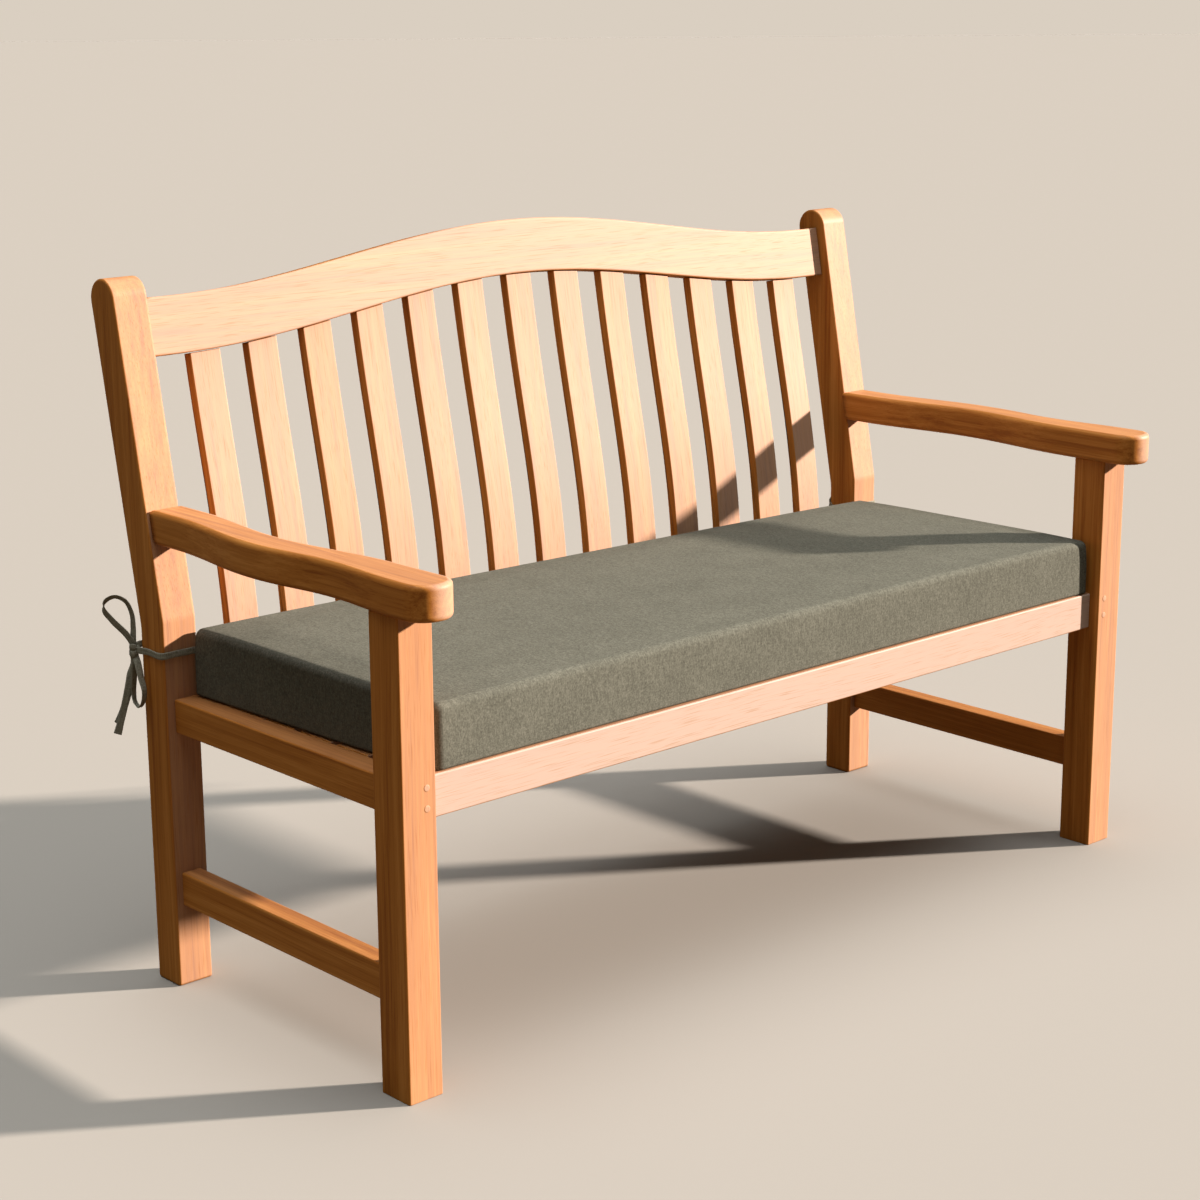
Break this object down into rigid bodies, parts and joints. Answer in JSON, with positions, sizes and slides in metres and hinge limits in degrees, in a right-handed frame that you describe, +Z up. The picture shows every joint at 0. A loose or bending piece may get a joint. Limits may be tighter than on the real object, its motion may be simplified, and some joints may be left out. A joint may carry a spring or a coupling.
{
  "type": "bench cushion on a garden bench",
  "caption": "Filled box cushion with corner ties on a slatted wooden garden bench, with a crested back rail, bowed arms and leaning posts that the ties wrap round.",
  "frame": {"origin": "middle of the bench's footprint, on the ground", "axes": "+X along the bench to the sitter's left, +Y towards the back, +Z up"},
  "size_m": [1.5788, 0.7346, 1.0491],
  "materials": {
    "cushion_fabric": "plain-weave grey-green outdoor fabric, matt",
    "tie_tape": "narrow folded tape of the same cloth, matt, with stitched edges",
    "hardwood": "oiled hardwood, pinkish tan, straight fine grain, satin"
  },
  "bodies": {
    "root": {"arm_left": "hardwood", "arm_right": "hardwood", "back_slat_01": "hardwood", "back_slat_02": "hardwood", "back_slat_03": "hardwood", "back_slat_04": "hardwood", "back_slat_05": "hardwood", "back_slat_06": "hardwood", "back_slat_07": "hardwood", "back_slat_08": "hardwood", "back_slat_09": "hardwood", "back_slat_10": "hardwood", "back_slat_11": "hardwood", "back_slat_12": "hardwood", "back_slat_13": "hardwood", "cushion": "cushion_fabric", "front_leg_left": "hardwood", "front_leg_right": "hardwood", "front_seat_rail": "hardwood", "lower_back_rail": "hardwood", "rear_post_left": "hardwood", "rear_post_right": "hardwood", "seat_bearer_1": "hardwood", "seat_bearer_2": "hardwood", "seat_bearer_3": "hardwood", "seat_slat_1": "hardwood", "seat_slat_2": "hardwood", "seat_slat_3": "hardwood", "seat_slat_4": "hardwood", "seat_slat_5": "hardwood", "seat_slat_6": "hardwood", "side_seat_rail_left": "hardwood", "side_seat_rail_right": "hardwood", "side_stretcher_left": "hardwood", "side_stretcher_right": "hardwood", "tie_left": "tie_tape", "tie_right": "tie_tape", "top_rail": "hardwood"}
  },
  "joints": []
}
